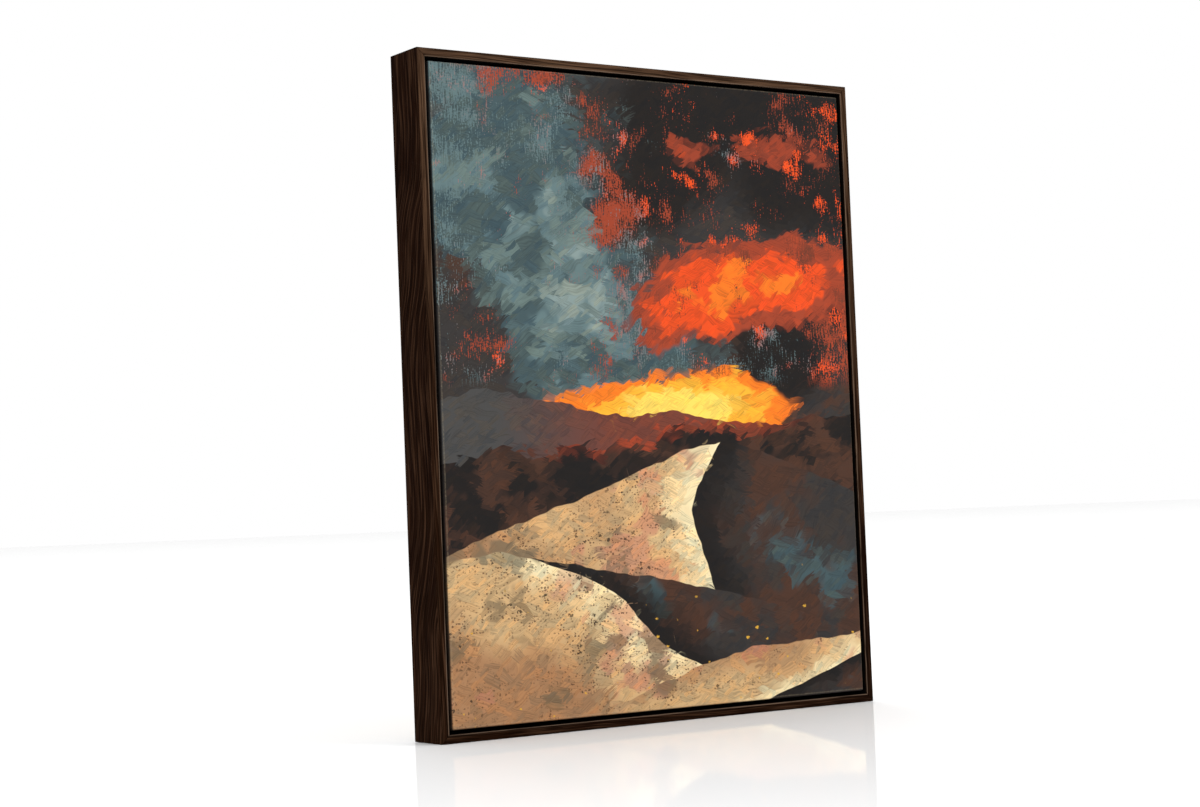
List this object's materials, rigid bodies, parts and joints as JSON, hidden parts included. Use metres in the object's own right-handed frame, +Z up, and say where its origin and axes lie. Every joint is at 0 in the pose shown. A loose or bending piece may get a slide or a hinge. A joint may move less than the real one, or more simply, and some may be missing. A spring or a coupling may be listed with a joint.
{
  "type": "framed canvas picture",
  "caption": "Stretched canvas picture in a dark wood floater frame with a narrow shadow gap round the canvas, open at the back, standing on its lower rail.",
  "frame": {"origin": "middle of the frame's footprint, on the flat underside of the lower rail", "axes": "+Z up the picture, +X to the right as it is looked at; the picture faces -Y and the open back faces +Y"},
  "size_m": [0.4256, 0.041, 0.5272],
  "materials": {
    "canvas": "woven cloth, painted matt in front and raw at the back",
    "dark_wood": "dark brown stain with a low satin sheen",
    "pine": "planed softwood, unfinished",
    "zinc_steel": "bright zinc plate"
  },
  "bodies": {
    "root": {"canvas": "canvas", "rail_bottom": "dark_wood", "rail_right": "dark_wood", "rail_top": "dark_wood", "rail_left": "dark_wood", "stretcher_bottom": "pine", "stretcher_right": "pine", "stretcher_top": "pine", "stretcher_left": "pine", "screw_bottom_1": "zinc_steel", "screw_bottom_2": "zinc_steel", "screw_right_1": "zinc_steel", "screw_right_2": "zinc_steel", "screw_top_1": "zinc_steel", "screw_top_2": "zinc_steel", "screw_left_1": "zinc_steel", "screw_left_2": "zinc_steel"}
  },
  "joints": []
}
